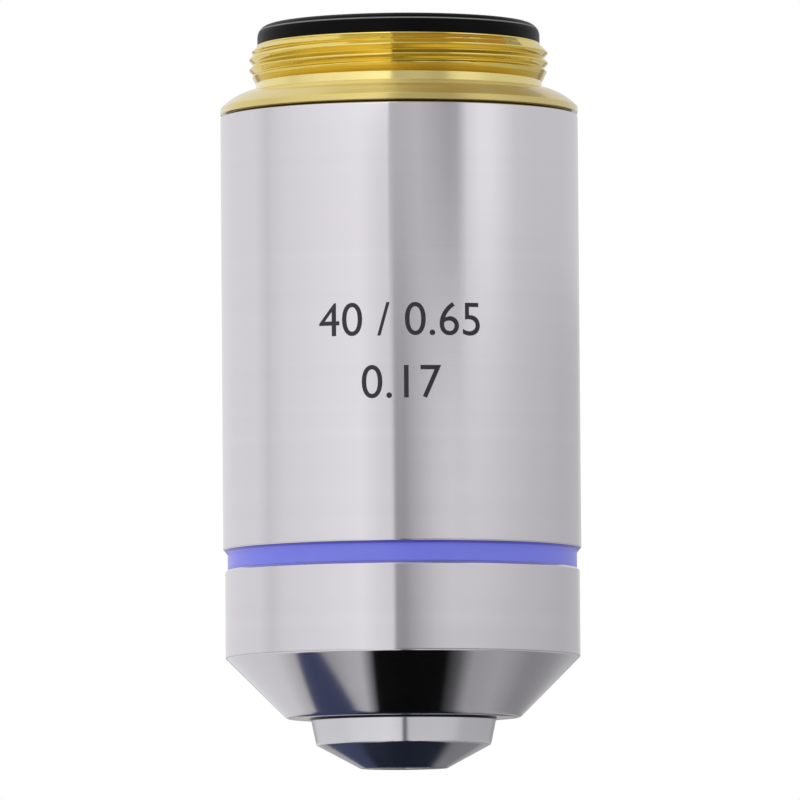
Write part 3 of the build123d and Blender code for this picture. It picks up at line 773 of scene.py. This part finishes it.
def keep_result(made):
    """Replace an object's mesh by what its modifiers make of it, in one finish, and remove them."""
    bpy.context.view_layer.update()
    seen = made.evaluated_get(bpy.context.evaluated_depsgraph_get())
    mesh = bpy.data.meshes.new_from_object(seen)
    mesh.name = made.name
    finish = mesh.materials[-1]
    mesh.materials.clear()
    mesh.materials.append(finish)
    mesh.polygons.foreach_set("material_index", [0] * len(mesh.polygons))
    made.modifiers.clear()
    made.data = mesh


def shade(made, sharp_angle=24.0):
    """Normals outward, smooth faces, and sharp edges where the surface turns a corner."""
    work = bmesh.new()
    work.from_mesh(made.data)
    bmesh.ops.recalc_face_normals(work, faces=work.faces)
    for face in work.faces:
        face.smooth = True
    for edge in work.edges:
        edge.smooth = not (edge.is_manifold and edge.calc_face_angle(0.0) > math.radians(sharp_angle))
    open_edges = sum(1 for edge in work.edges if not edge.is_manifold)
    work.to_mesh(made.data)
    work.free()
    return open_edges


def from_points(name, points):
    """An object that holds only points."""
    mesh = bpy.data.meshes.new(name)
    mesh.from_pydata(points, [], [])
    return placed(name, mesh)


def settle(made, body, slot, *nodes):
    """Hand a finished piece to the frame: its body and what it stands for; its material slot is not used.
    """
    open_edges = shade(made)
    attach(made, body)
    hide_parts(*nodes)
    print(made.name, len(made.data.polygons), "faces, open edges", open_edges)


def turned(name, points, finish, segments=288):
    """A turned piece from its outline's points."""
    made = from_points(name, points)
    run_tree(made, TURNED_PIECE, {"Segments": segments, "Rings": len(points), "Finish": finish})
    return made


print("turning tools ready")

# %% [markdown]
# ### The outer sleeve, the blue band and the front sleeve
#
# The long sleeve is a plain tube with broken edges. Under it lies the enamelled band, whose upper
# edge flares out to meet the sleeve. The front sleeve carries on below the band, turns in over a
# soft edge and ends in a cone of 45 degrees.

# %% Sleeves and band
BODY_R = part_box("outer_sleeve")[1].x / MM
FRONT_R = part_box("front_sleeve")[1].x / MM
BAND_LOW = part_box("colour_band")[0].z / MM
BAND_R = 11.85
EDGE = 0.05
SLEEVE_EDGE = 0.09
SLEEVE_BORE = 11.20
sleeve = turned("sleeve", rounded_outline([
    (BAND_R, SLEEVE_LOW, 0), (BAND_R, LIP, 0), (BODY_R, LIP, SLEEVE_EDGE),
    (BODY_R, SLEEVE_TOP, SLEEVE_EDGE), (SLEEVE_BORE, SLEEVE_TOP, EDGE), (SLEEVE_BORE, SLEEVE_LOW, EDGE),
]), satin_chrome)
settle(sleeve, "housing", "satin_chrome", "outer_sleeve")

BAND_BORE = BAND_R - 0.40
FLARE_LOW = LIP - 0.30
FLARE_R = BODY_R - 0.08
band = turned("band", rounded_outline([
    (BAND_BORE, BAND_LOW, 0), (BAND_R, BAND_LOW, 0.04), (BAND_R, FLARE_LOW, 0.15), (FLARE_R, LIP, 0.02),
    (BAND_R, LIP, 0), (BAND_R, SLEEVE_LOW, 0), (BAND_BORE, SLEEVE_LOW, 0),
]), blue_enamel)
settle(band, "housing", "blue_enamel", "colour_band")

FRONT_TOP = SLEEVE_LOW + 1.80
FRONT_BORE = 10.60
FRONT_SPIGOT_R = 11.15
BAND_SEAT_R = 11.40
FRONT_BEVEL = 0.18
CONE_HIGH = BAND_LOW - 6.00
CONE_END_R = 7.90
CONE_FLOOR = CONE_LOW + 2.00
CONE_INSIDE_R = 8.20
CONE_INSIDE_HIGH = CONE_HIGH + 0.27
NOSE_BORE = 6.40
front = turned("cone_sleeve", rounded_outline([
    (FRONT_BORE, FRONT_TOP, EDGE), (FRONT_SPIGOT_R, FRONT_TOP, EDGE), (FRONT_SPIGOT_R, SLEEVE_LOW, 0),
    (BAND_SEAT_R, SLEEVE_LOW, 0), (BAND_SEAT_R, BAND_LOW, 0), (FRONT_R - FRONT_BEVEL, BAND_LOW, 0.04),
    (FRONT_R, BAND_LOW - FRONT_BEVEL, 0.06), (FRONT_R, CONE_HIGH, 0.14), (CONE_END_R, CONE_LOW, 0.45),
    (NOSE_BORE, CONE_LOW, EDGE), (NOSE_BORE, CONE_FLOOR, EDGE), (CONE_INSIDE_R, CONE_FLOOR, 0),
    (FRONT_BORE, CONE_INSIDE_HIGH, 0),
]), satin_chrome)
settle(front, "housing", "satin_chrome", "front_sleeve")

# %% [markdown]
# ### The nose and the two outer lenses
#
# The nose slides: it is pushed in when it touches a slide, so that neither breaks. Its side narrows
# a little, its tip is a flat cone, and the small front lens shows in the hole at its end. The rear
# lens shows from above, deep in the barrel. A lens outline is two arcs of a sphere and a rim.


# %% Nose and lenses
def lens_outline(rim, low, edge, low_rise, high_rise, steps=14):
    """A lens from the axis, along its lower face, up its rim and back. A rise is outwards."""
    def face(rise):
        curve = (rim**2 + rise**2) / (2 * rise)
        heights = []
        for i in range(steps + 1):
            r = rim * i / steps
            heights.append((r, rise - (curve - math.copysign(math.sqrt(curve**2 - r**2), curve))))
        return heights
    lower = [(r, low - lift) for r, lift in face(low_rise)]
    upper = [(r, low + edge + lift) for r, lift in reversed(face(high_rise))]
    return [(r * MM, 0.0, z * MM) for r, z in lower + upper]


NOSE_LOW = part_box("nose_cap")[0].z / MM
NOSE_R = 6.30
NOSE_SHOULDER = CONE_LOW + 3.10
STEM_R = 5.95
STEM_BORE = 4.40
STEM_FLOOR = NOSE_LOW + 3.97
TIP_HIGH = NOSE_LOW + 1.60
TIP_HIGH_R = 5.92
TIP_R = 2.95
HOLE_R = 1.20
FRONT_LENS_LOW = NOSE_LOW + 0.22
FRONT_LENS_SEAT_R = 1.90
SECOND_LENS_LOW = NOSE_LOW + 2.07
SECOND_LENS_SEAT_R = 3.10
nose = turned("nose", rounded_outline([
    (STEM_BORE, NOSE_TOP, EDGE), (STEM_R, NOSE_TOP, 0.08), (STEM_R, NOSE_SHOULDER, 0),
    (NOSE_R, NOSE_SHOULDER, EDGE), (NOSE_R, CONE_LOW, 0.60), (TIP_HIGH_R, TIP_HIGH, 0.22),
    (TIP_R, NOSE_LOW, 0.10), (HOLE_R, NOSE_LOW, 0.03), (HOLE_R, FRONT_LENS_LOW, 0),
    (FRONT_LENS_SEAT_R, FRONT_LENS_LOW, 0), (FRONT_LENS_SEAT_R, SECOND_LENS_LOW, 0.03),
    (SECOND_LENS_SEAT_R, SECOND_LENS_LOW, 0), (SECOND_LENS_SEAT_R, STEM_FLOOR, 0.03),
    (STEM_BORE, STEM_FLOOR, 0),
]), nose_chrome)
settle(nose, "nose", "nose_chrome", "nose_cap")

front_lens = lens_outline(rim=1.85, low=FRONT_LENS_LOW, edge=0.70, low_rise=-0.10, high_rise=1.00)
front_glass = turned("front_glass", front_lens, crown_glass, segments=96)
settle(front_glass, "nose", "crown_glass", "front_lens")

REAR_LENS_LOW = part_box("rear_lens")[0].z / MM
rear_lens = lens_outline(rim=4.20, low=REAR_LENS_LOW, edge=1.30, low_rise=-0.50, high_rise=0.50)
rear_glass = turned("rear_glass", rear_lens, crown_glass, segments=144)
settle(rear_glass, "nose", "crown_glass", "rear_lens")

# %% [markdown]
# ### The brass mount with its screw thread
#
# The thread is the standard one for objectives, 0.8 inch across with 36 turns to the inch. A real
# thread is a rule, not a shape drawn by hand: the rows of a grid climb by one pitch for each turn,
# and each row has its own depth between the narrow crest and the root of the groove. Rows that
# climb past an end are held there. Two cones trim the thread, one where it begins under the black
# ring and one where it runs out at the neck. The tree joins that surface to the rest of the turned
# collar. The holes for the lock screws are drilled afterwards.

# %% The threaded tree
THREAD_COUNTS = ["Segments", "Rings", "Rows per Turn", "Thread Rows"]
THREAD_MEASURES = [
    "Pitch", "Crest", "Root", "Crest Share", "Start", "Low", "High", "Neck", "Run Out", "Land", "Lead In",
]
# Where the flank meets the root, as a share of the pitch from the middle of the crest
FLANK_END = 0.48


def trimming_cone(tree, way, small, crest, length):
    """The radius of a cone that grows from a small radius to the crest over a length."""
    slope = calc(tree, "DIVIDE", calc(tree, "SUBTRACT", crest, small), length)
    return calc(tree, "ADD", small, calc(tree, "MULTIPLY", way, slope))


def threaded_tree():
    """A turned collar whose outline leaves a gap, and a screw thread that fills the gap."""
    tree, part, result = geometry_tree("Threaded collar", THREAD_COUNTS, THREAD_MEASURES)
    collar = turned_surface(tree, part["Outline"], part["Segments"], part["Rings"])
    mesh, angle, row = swept_grid(tree, part["Segments"], part["Thread Rows"])

    turn = calc(tree, "SUBTRACT", calc(tree, "DIVIDE", row, part["Rows per Turn"]), 1.0)
    risen = calc(tree, "ADD", turn, calc(tree, "DIVIDE", angle, 2 * math.pi))
    screwed = calc(tree, "ADD", part["Start"], calc(tree, "MULTIPLY", risen, part["Pitch"]))
    height = calc(tree, "MINIMUM", part["High"], calc(tree, "MAXIMUM", part["Low"], screwed))

    beside_crest = calc(tree, "PINGPONG", turn, 0.5)
    down_flank = calc(tree, "SUBTRACT", beside_crest, part["Crest Share"])
    flank_width = calc(tree, "SUBTRACT", FLANK_END, part["Crest Share"])
    sunk = calc(tree, "DIVIDE", down_flank, flank_width)
    sunk = calc(tree, "MINIMUM", 1.0, calc(tree, "MAXIMUM", 0.0, sunk))
    depth = calc(tree, "SUBTRACT", part["Crest"], part["Root"])
    screw = calc(tree, "SUBTRACT", part["Crest"], calc(tree, "MULTIPLY", depth, sunk))

    above_low = calc(tree, "SUBTRACT", height, part["Low"])
    run_out = trimming_cone(tree, above_low, part["Neck"], part["Crest"], part["Run Out"])
    below_high = calc(tree, "SUBTRACT", part["High"], height)
    lead_in = trimming_cone(tree, below_high, part["Land"], part["Crest"], part["Lead In"])
    radius = calc(tree, "MINIMUM", screw, calc(tree, "MINIMUM", lead_in, run_out))

    thread = wrapped(tree, mesh, radius, angle, height)
    both = add(tree, "GeometryNodeJoinGeometry", {"Geometry": thread})
    feed(tree, both, {"Geometry": collar})
    closed_up(tree, both.outputs["Geometry"], part["Finish"], result)
    return tree


THREADED_COLLAR = threaded_tree()
print("threaded tree of", len(THREADED_COLLAR.nodes), "nodes")

# %% [markdown]
# A drilled hole or a milled slot is cut with the shape of its tool: the tool is made as a solid of
# its own, taken away from the piece and then deleted.


# %% Cutting tools
def cutter(name, build):
    """A hidden solid to cut with, made by a function that fills a bmesh."""
    work = bmesh.new()
    build(work)
    mesh = bpy.data.meshes.new(name)
    work.to_mesh(mesh)
    work.free()
    return placed(name, mesh)


def cut_away(made, tool):
    """Cut one solid out of another, whose finish the cut gets too, and remove the tool."""
    tool.data.materials.append(made.data.materials[0])
    boolean = made.modifiers.new("cut", "BOOLEAN")
    boolean.operation = "DIFFERENCE"
    boolean.solver = "EXACT"
    boolean.object = tool
    keep_result(made)
    spare = tool.data
    bpy.data.objects.remove(tool)
    bpy.data.meshes.remove(spare)


SCREW_HOLE_R = 0.72
SCREW_HOLE_DEPTH = 1.5
SCREW_HOLE_MIDDLE = Vector((10.25, 0.0, SLEEVE_TOP - 1.90))


def lock_screw_drill(work):
    """Three round bars that point away from the axis."""
    for i in range(3):
        turn = Quaternion((0, 0, 1), math.radians(90 + 120 * i))
        aim = turn @ Quaternion((0, 1, 0), math.radians(90))
        place = aim.to_matrix().to_4x4()
        place.translation = turn @ (SCREW_HOLE_MIDDLE * MM)
        bmesh.ops.create_cone(
            work, cap_ends=True, segments=32, radius1=SCREW_HOLE_R * MM, radius2=SCREW_HOLE_R * MM,
            depth=SCREW_HOLE_DEPTH * MM, matrix=place,
        )


print("lock screw holes of", 2 * SCREW_HOLE_R, "mm")

# %% The brass mount
THREAD_R = 10.16
THREAD_ROOT = 9.86
THREAD_PITCH = 25.4 / 36
THREAD_START = 0.50
CREST_SHARE = 0.07
ROWS_PER_TURN = 24
SPARE_TURNS = 2.4
NECK_R = 9.72
RUN_OUT = 0.85
LAND_R = 9.62
LAND_LOW = 3.17
LEAD_IN = 0.55
MOUNT_TOP = 3.26
MOUNT_BORE = 8.00
RING_SEAT_R = 8.85
RING_SEAT_LOW = 1.21
RIM_HIGH = -1.07
SEAT_R = 10.50
CROWN_BULGE = 0.12
UNDERCUT_R = 10.24
UNDERCUT_LOW = -0.10
PARTING_R = BODY_R - 0.40
SPIGOT_R = 10.40
SPIGOT_LOW = SLEEVE_TOP - 3.80
SPIGOT_BEVEL = 0.30
collar_outline = [
    (LAND_R, LAND_LOW, 0), (LAND_R, MOUNT_TOP, 0.03), (RING_SEAT_R, MOUNT_TOP, 0.06),
    (RING_SEAT_R, RING_SEAT_LOW, 0), (MOUNT_BORE, RING_SEAT_LOW, EDGE), (MOUNT_BORE, SPIGOT_LOW, EDGE),
    (SPIGOT_R - SPIGOT_BEVEL, SPIGOT_LOW, EDGE), (SPIGOT_R, SPIGOT_LOW + SPIGOT_BEVEL, EDGE),
    (SPIGOT_R, SLEEVE_TOP, 0), (PARTING_R, SLEEVE_TOP, 0), (PARTING_R, RIM_LOW, 0), (BODY_R, RIM_LOW, EDGE),
    (BODY_R, RIM_HIGH, 0.10), *arc_corners((BODY_R, RIM_HIGH), (SEAT_R, 0.0), -CROWN_BULGE, 10),
    (SEAT_R, 0.0, 0.03), (UNDERCUT_R, 0.0, 0.03), (UNDERCUT_R, UNDERCUT_LOW, 0), (NECK_R, UNDERCUT_LOW, 0),
    (NECK_R, NECK_TOP, 0),
]
collar_points = rounded_outline(collar_outline, closed=False)
thread_turns = (LAND_LOW - NECK_TOP) / THREAD_PITCH + SPARE_TURNS
mount = from_points("mount", collar_points)
run_tree(mount, THREADED_COLLAR, {
    "Segments": 360, "Rings": len(collar_points), "Finish": mount_brass, "Rows per Turn": ROWS_PER_TURN,
    "Thread Rows": math.ceil(thread_turns * ROWS_PER_TURN), "Pitch": THREAD_PITCH * MM,
    "Crest": THREAD_R * MM, "Root": THREAD_ROOT * MM, "Crest Share": CREST_SHARE,
    "Start": THREAD_START * MM, "Low": NECK_TOP * MM, "High": LAND_LOW * MM, "Neck": NECK_R * MM,
    "Run Out": RUN_OUT * MM, "Land": LAND_R * MM, "Lead In": LEAD_IN * MM,
})
cut_away(mount, cutter("lock_screw_drill", lock_screw_drill))
settle(mount, "housing", "mount_brass", "thread_mount")

# %% [markdown]
# ### The black ring
#
# The ring at the very top screws into the mount, keeps stray light out and is turned with a
# spanner, which is what its two slots are for. Its upper edge is well rounded.

# %% Black ring with spanner slots
RING_R = 9.60
RING_ROUND = 0.82
RING_STEM_R = 8.80
RING_STEM_LOW = 1.31
APERTURE_R = 6.50
RING_FLARE = 0.70
SLOT_WIDTH = 1.20
SLOT_DEPTH = 0.60
SLOT_LENGTH = 17.40


def spanner_slot(work):
    """A straight bar across the ring's top."""
    bmesh.ops.create_cube(work, size=1.0)
    bmesh.ops.scale(work, vec=(SLOT_LENGTH * MM, SLOT_WIDTH * MM, 2 * SLOT_DEPTH * MM), verts=work.verts)
    bmesh.ops.translate(work, vec=(0, 0, RING_TOP * MM), verts=work.verts)


ring = turned("black_ring", rounded_outline([
    (APERTURE_R, RING_STEM_LOW, EDGE), (RING_STEM_R, RING_STEM_LOW, EDGE), (RING_STEM_R, MOUNT_TOP, 0),
    (RING_R, MOUNT_TOP, EDGE), (RING_R, RING_TOP, RING_ROUND), (APERTURE_R + RING_FLARE, RING_TOP, 0.06),
    (APERTURE_R, RING_TOP - RING_FLARE, EDGE),
]), black_anodised)
cut_away(ring, cutter("spanner_slot", spanner_slot))
settle(ring, "housing", "black_anodised", "rear_stop_ring")

# %% [markdown]
# ### The return spring
#
# The spring sits inside, between the mount and the barrel, and pushes the nose out again. It is a
# helix: the tree bends a straight line into one by each point's share of the way, and sweeps a
# square wire along it.

# %% Spring
COIL_POINTS = 361
WIRE_ROUND_SHARE = 0.18


def spring_tree():
    """A coil of square wire."""
    tree, part, result = geometry_tree("Coil spring", [], ["Radius", "Wire", "Turns", "Low", "Length"])
    line = add(tree, "GeometryNodeCurvePrimitiveLine").outputs["Curve"]
    points = add(tree, "GeometryNodeResampleCurve", {"Curve": line, "Count": COIL_POINTS}).outputs["Curve"]
    share = add(tree, "GeometryNodeSplineParameter").outputs["Factor"]
    angle = calc(tree, "MULTIPLY", calc(tree, "MULTIPLY", share, part["Turns"]), 2 * math.pi)
    rise = calc(tree, "MULTIPLY", share, calc(tree, "SUBTRACT", part["Length"], part["Wire"]))
    start = calc(tree, "ADD", part["Low"], calc(tree, "MULTIPLY", part["Wire"], 0.5))
    coil = wrapped(tree, points, part["Radius"], angle, calc(tree, "ADD", start, rise))
    upright = add(tree, "GeometryNodeSetCurveNormal", {"Curve": coil}, mode="Z_UP").outputs["Curve"]
    sides = {"Width": part["Wire"], "Height": part["Wire"]}
    section = add(tree, "GeometryNodeCurvePrimitiveQuadrilateral", sides).outputs["Curve"]
    rounding = calc(tree, "MULTIPLY", part["Wire"], WIRE_ROUND_SHARE)
    fillet = {"Curve": section, "Count": 2, "Radius": rounding}
    soft = add(tree, "GeometryNodeFilletCurve", fillet, mode="POLY").outputs["Curve"]
    sweep = {"Curve": upright, "Profile Curve": soft, "Fill Caps": True}
    swept = add(tree, "GeometryNodeCurveToMesh", sweep).outputs["Mesh"]
    closed_up(tree, swept, part["Finish"], result)
    return tree


COIL_SPRING = spring_tree()
COIL_R = 8.9
COIL_TURNS = 5.0
WIRE = 0.7
SPRING_LOW, SPRING_HIGH = (corner.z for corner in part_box("return_spring"))
spring_length = SPRING_HIGH - SPRING_LOW
spring = from_points("spring", [(0, 0, 0)])
run_tree(spring, COIL_SPRING, {
    "Radius": COIL_R * MM, "Wire": WIRE * MM, "Turns": COIL_TURNS, "Low": SPRING_LOW,
    "Length": spring_length, "Finish": spring_steel,
})
settle(spring, "housing", "spring_steel", "return_spring")
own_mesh(spring)

# %% [markdown]
# ### Printed numbers
#
# Objectives carry their magnification and aperture in small print. The numbers here are plain and
# generic. Each line of text becomes a flat mesh, is cut into narrow upright strips and is then
# wrapped round the sleeve, a few thousandths of a millimetre above the metal.


# %% Numbers on the sleeve
INK_LIFT = 0.006
STRIP = 0.20
PRINT_SIZE = 3.2


def printed_line(name, words, height):
    """One line of print, centred in front at a height in mm."""
    curve = bpy.data.curves.new(name, "FONT")
    curve.body = words
    curve.size = PRINT_SIZE
    curve.align_x = "CENTER"
    curve.align_y = "CENTER"
    curve.resolution_u = 6
    lettered = placed(name + "_text", curve)
    bpy.context.view_layer.update()
    flat = bpy.data.meshes.new_from_object(lettered.evaluated_get(bpy.context.evaluated_depsgraph_get()))
    bpy.data.objects.remove(lettered)
    bpy.data.curves.remove(curve)
    work = bmesh.new()
    work.from_mesh(flat)
    bpy.data.meshes.remove(flat)
    half = max(abs(v.co.x) for v in work.verts)
    for i in range(-int(half / STRIP), int(half / STRIP) + 1):
        geometry = work.verts[:] + work.edges[:] + work.faces[:]
        bmesh.ops.bisect_plane(work, geom=geometry, plane_co=(i * STRIP, 0, 0), plane_no=(1, 0, 0))
    radius = BODY_R + INK_LIFT
    for vertex in work.verts:
        angle = vertex.co.x / BODY_R
        up = vertex.co.y + height
        vertex.co = (radius * math.sin(angle) * MM, -radius * math.cos(angle) * MM, up * MM)
    for face in work.faces:
        face.normal_update()
        middle = face.calc_center_median()
        if face.normal.dot(Vector((middle.x, middle.y, 0.0))) < 0:
            face.normal_flip()
    mesh = bpy.data.meshes.new(name)
    work.to_mesh(mesh)
    work.free()
    mesh.materials.append(dark_ink)
    made = placed(name, mesh)
    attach(made, "housing")
    print(name, "is", round(2 * half, 2), "mm wide, with", len(mesh.polygons), "faces")


printed_line("numbers_upper", "40 / 0.65", -16.4)
printed_line("numbers_lower", "0.17", -20.6)

# %% [markdown]
# ## Finishes for the pieces inside, and the end
#
# The cells, spacers, screws and inner lenses keep the frame's own solids, each with the finish of
# its material slot.

# %% Inner pieces
slot_of = {part["node"]: part["material_slot"] for part in frame["record"]["subparts"]}
kept = [name for name in sorted(frame["nodes"]) if not frame["nodes"][name].hide_render]
for name in kept:
    for place in frame["nodes"][name].material_slots:
        place.material = INNER_FINISHES[slot_of[name]]
print("frame solids kept:", ", ".join(kept))
